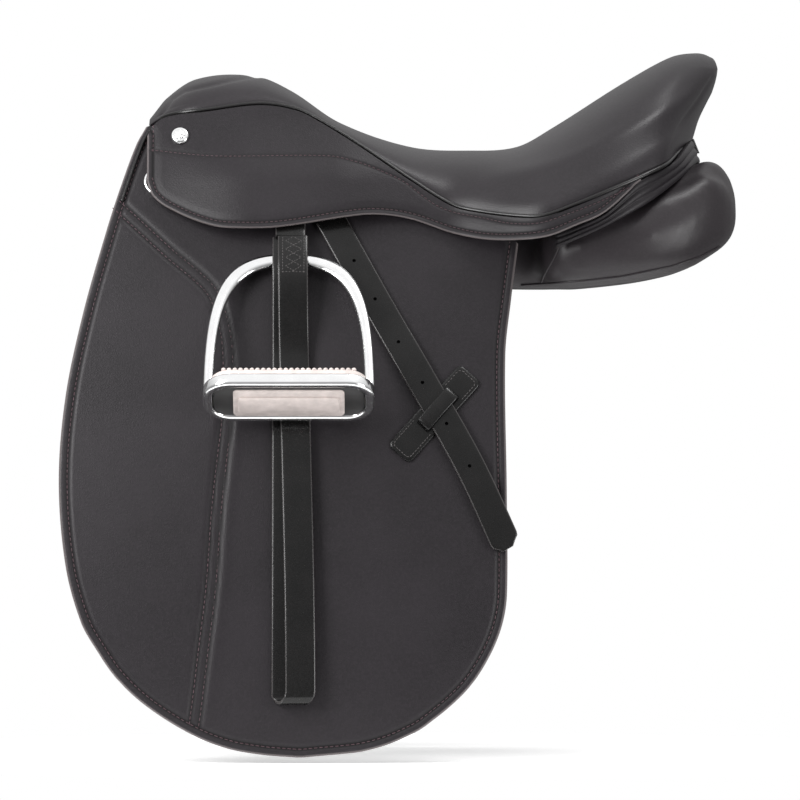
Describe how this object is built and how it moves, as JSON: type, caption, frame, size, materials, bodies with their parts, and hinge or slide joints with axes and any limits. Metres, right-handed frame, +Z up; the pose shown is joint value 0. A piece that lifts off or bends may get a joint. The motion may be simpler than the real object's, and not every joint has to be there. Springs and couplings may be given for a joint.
{
  "type": "english saddle",
  "caption": "Black leather dressage saddle with deep seat, long straight flaps, lifting skirts, billets, and stirrup irons run up on their leathers.",
  "frame": {"origin": "mid length of the saddle, in its centre plane, at the height of the panels' bearing line on the horse's back", "axes": "+Z up, the pommel towards -X and the cantle towards +X, the horse's left (near) side towards -Y"},
  "size_m": [0.569, 0.466, 0.5896],
  "materials": {
    "seat_leather": "soft satin, fine grain",
    "flap_leather": "satin, grained",
    "panel_leather": "matte, soft",
    "strap_leather": "polished",
    "foam": "open-cell foam",
    "webbing": "woven",
    "tree_wood": "laminated",
    "steel": "satin",
    "chrome": "polished",
    "tread_rubber": "matte, ribbed"
  },
  "bodies": {
    "saddle": {"seat_cover": "seat_leather", "seat_foam": "foam", "seat_webbing": "webbing", "tree": "tree_wood", "gullet_plate": "steel", "pommel_facing": "flap_leather", "cantle_band": "flap_leather", "tree_point_left": "tree_wood", "tree_point_right": "tree_wood", "panel_left": "panel_leather", "panel_right": "panel_leather", "panel_front_left": "panel_leather", "panel_front_right": "panel_leather", "sweat_flap_left": "flap_leather", "sweat_flap_right": "flap_leather", "knee_block_left": "flap_leather", "knee_block_right": "flap_leather", "flap_top_left": "flap_leather", "flap_top_right": "flap_leather", "skirt_top_left": "flap_leather", "skirt_top_right": "flap_leather", "stirrup_bar_left": "steel", "stirrup_bar_right": "steel", "leather_top_left": "strap_leather", "leather_top_right": "strap_leather", "buckle_left": "steel", "buckle_right": "steel", "nailhead_left": "chrome", "nailhead_right": "chrome", "dee_chape_left": "flap_leather", "dee_chape_right": "flap_leather"},
    "skirt_left": {"skirt_left": "flap_leather"},
    "flap_left": {"flap_left": "flap_leather", "keeper_left": "strap_leather", "leather_tail_left": "strap_leather"},
    "leather_left": {"leather_loop_left": "strap_leather"},
    "stirrup_left": {"stirrup_iron_left": "chrome", "tread_left": "tread_rubber"},
    "bar_catch_left": {"bar_catch_left": "steel"},
    "billet_front_left": {"billet_front_left": "strap_leather"},
    "billet_rear_left": {"billet_rear_left": "strap_leather"},
    "dee_ring_left": {"dee_ring_left": "chrome"},
    "skirt_right": {"skirt_right": "flap_leather"},
    "flap_right": {"flap_right": "flap_leather", "keeper_right": "strap_leather", "leather_tail_right": "strap_leather"},
    "leather_right": {"leather_loop_right": "strap_leather"},
    "stirrup_right": {"stirrup_iron_right": "chrome", "tread_right": "tread_rubber"},
    "bar_catch_right": {"bar_catch_right": "steel"},
    "billet_front_right": {"billet_front_right": "strap_leather"},
    "billet_rear_right": {"billet_rear_right": "strap_leather"},
    "dee_ring_right": {"dee_ring_right": "chrome"}
  },
  "joints": [
    {"name": "flap_left_lift", "type": "hinge", "parent": "saddle", "child": "flap_left", "pos_m": [-0.094, -0.13433, 0.04744], "axis": [-1, 0, 0], "range_deg": [0, 65]},
    {"name": "leather_left_swing", "type": "hinge", "parent": "flap_left", "child": "leather_left", "pos_m": [-0.094, -0.13433, 0.04744], "axis": [-1, 0, 0], "range_deg": [0, 20]},
    {"name": "stirrup_left_run_down", "type": "hinge", "parent": "leather_left", "child": "stirrup_left", "pos_m": [-0.0935, 1.29842, -0.45128], "axis": [1, 0, 0], "range_deg": [0, 15], "deforming": ["leather_loop_left"]},
    {"name": "skirt_left_lift", "type": "hinge", "parent": "saddle", "child": "skirt_left", "pos_m": [-0.213, -0.10744, 0.12722], "axis": [-0.9742, 0.0847, 0.2092], "range_deg": [0, 55]},
    {"name": "bar_catch_left_fold", "type": "hinge", "parent": "saddle", "child": "bar_catch_left", "pos_m": [-0.0606, -0.11063, 0.084], "axis": [0, 1, 0], "range_deg": [0, 90]},
    {"name": "billet_front_left_swing", "type": "hinge", "parent": "saddle", "child": "billet_front_left", "pos_m": [-0.06, -0.11277, 0.0203], "axis": [0, -0.9513, 0.3082], "range_deg": [-8, 8]},
    {"name": "billet_rear_left_swing", "type": "hinge", "parent": "saddle", "child": "billet_rear_left", "pos_m": [0.03, -0.11277, 0.0203], "axis": [0, -0.9513, 0.3082], "range_deg": [-8, 8]},
    {"name": "dee_ring_left_swing", "type": "hinge", "parent": "saddle", "child": "dee_ring_left", "pos_m": [-0.2035, -0.09789, 0.10426], "axis": [0, -0.9325, 0.3612], "range_deg": [-15, 15]},
    {"name": "flap_right_lift", "type": "hinge", "parent": "saddle", "child": "flap_right", "pos_m": [-0.094, 0.13433, 0.04744], "axis": [1, 0, 0], "range_deg": [0, 65]},
    {"name": "leather_right_swing", "type": "hinge", "parent": "flap_right", "child": "leather_right", "pos_m": [-0.094, 0.13433, 0.04744], "axis": [1, 0, 0], "range_deg": [0, 20]},
    {"name": "stirrup_right_run_down", "type": "hinge", "parent": "leather_right", "child": "stirrup_right", "pos_m": [-0.0935, -1.29842, -0.45128], "axis": [-1, 0, 0], "range_deg": [0, 15], "deforming": ["leather_loop_right"]},
    {"name": "skirt_right_lift", "type": "hinge", "parent": "saddle", "child": "skirt_right", "pos_m": [-0.213, 0.10744, 0.12722], "axis": [0.9742, 0.0847, -0.2092], "range_deg": [0, 55]},
    {"name": "bar_catch_right_fold", "type": "hinge", "parent": "saddle", "child": "bar_catch_right", "pos_m": [-0.0606, 0.11063, 0.084], "axis": [0, 1, 0], "range_deg": [0, 90]},
    {"name": "billet_front_right_swing", "type": "hinge", "parent": "saddle", "child": "billet_front_right", "pos_m": [-0.06, 0.11277, 0.0203], "axis": [0, 0.9513, 0.3082], "range_deg": [-8, 8]},
    {"name": "billet_rear_right_swing", "type": "hinge", "parent": "saddle", "child": "billet_rear_right", "pos_m": [0.03, 0.11277, 0.0203], "axis": [0, 0.9513, 0.3082], "range_deg": [-8, 8]},
    {"name": "dee_ring_right_swing", "type": "hinge", "parent": "saddle", "child": "dee_ring_right", "pos_m": [-0.2035, 0.09789, 0.10426], "axis": [0, 0.9325, 0.3612], "range_deg": [-15, 15]}
  ]
}
